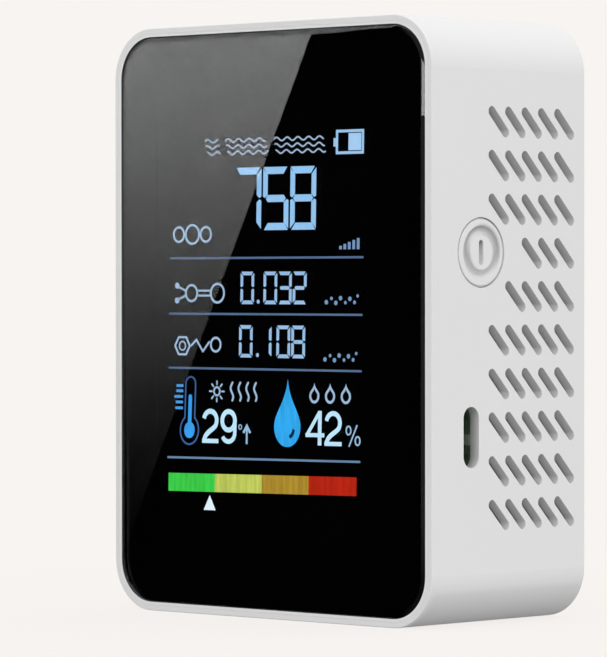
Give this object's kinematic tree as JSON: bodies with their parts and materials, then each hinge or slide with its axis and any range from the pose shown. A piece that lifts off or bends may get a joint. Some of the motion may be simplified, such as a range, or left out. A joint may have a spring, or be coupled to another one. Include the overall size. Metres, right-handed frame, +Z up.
{
  "type": "air quality monitor",
  "caption": "Desktop air quality monitor: white vented sleeve, glass front over a lit segment display, side push button, side charging port, sensors and battery inside.",
  "frame": {"origin": "centre of the footprint, on the bottom face", "axes": "+Z up, +X to the right seen from the front, the glass front faces -Y"},
  "size_m": [0.07, 0.0364, 0.095],
  "materials": {
    "white_case": "fine satin ABS",
    "white_button": "fine satin ABS",
    "screw_steel": "zinc plated",
    "front_glass": "polished, smoked",
    "black_print": "screen-printed ink",
    "foam_tape": "closed-cell foam",
    "polarizer_film": "clear-coated film",
    "lcd_glass": "polished",
    "colour_film": "tinted film",
    "light_guide": "clear acrylic",
    "led_strip": "moulded",
    "white_frame": "moulded",
    "ribbon_film": "polyimide film",
    "socket_plastic": "moulded nylon",
    "green_board": "solder mask over glass-epoxy",
    "blue_board": "solder mask over glass-epoxy",
    "chip_black": "moulded epoxy",
    "tinned_metal": "tin plated",
    "ceramic_parts": "ceramic chips",
    "steel_can": "drawn, satin",
    "port_plastic": "moulded LCP",
    "gold_contacts": "gold flash",
    "switch_plastic": "moulded nylon",
    "battery_foil": "laminated pouch foil",
    "amber_tape": "polyimide tape",
    "white_tape": "foam tape",
    "lead_red": "PVC insulation",
    "lead_black": "PVC insulation",
    "gold_chamber": "gold-plated chamber",
    "filter_membrane": "porous PTFE sheet",
    "sensor_plastic": "moulded"
  },
  "bodies": {
    "case": {"housing": "white_case", "front_bezel": "white_case", "back_cover": "white_case", "back_screws": "screw_steel", "lens_panel": "front_glass", "lens_mask": "black_print", "lens_tape": "foam_tape", "lcd_polarizer": "polarizer_film", "lcd_glass": "lcd_glass", "colour_film": "colour_film", "light_guide": "light_guide", "backlight_leds": "led_strip", "lcd_frame": "white_frame", "lcd_ribbon": "ribbon_film", "ribbon_socket": "socket_plastic", "main_board": "green_board", "board_screws": "screw_steel", "controller_chip": "chip_black", "charger_chip": "chip_black", "chip_leads": "tinned_metal", "chip_parts": "ceramic_parts", "inductor": "chip_black", "crystal_can": "steel_can", "usb_shell": "steel_can", "usb_tongue": "port_plastic", "usb_contacts": "gold_contacts", "switch_body": "switch_plastic", "switch_plate": "steel_can", "battery_cell": "battery_foil", "battery_guard": "amber_tape", "battery_tape": "white_tape", "battery_plug": "socket_plastic", "battery_socket": "socket_plastic", "battery_lead_red": "lead_red", "battery_lead_black": "lead_black", "co2_board": "blue_board", "co2_chamber": "gold_chamber", "co2_filter": "filter_membrane", "gas_board": "blue_board", "hcho_can": "steel_can", "hcho_filter": "filter_membrane", "tvoc_can": "steel_can", "climate_sensor": "sensor_plastic", "sensor_pins": "gold_contacts"},
    "button": {"power_button": "white_button"},
    "plunger": {"switch_plunger": "switch_plastic"}
  },
  "joints": [
    {"name": "button_press", "type": "slide", "parent": "case", "child": "button", "axis": [-1, 0, 0], "range_m": [0, 0.0004], "stiffness_N_per_m": 600},
    {"name": "plunger_press", "type": "slide", "parent": "case", "child": "plunger", "axis": [-1, 0, 0], "range_m": [0, 0.0004]}
  ],
  "couplings": [
    {"joint": "plunger_press", "follows": "button_press", "ratio": 1}
  ]
}
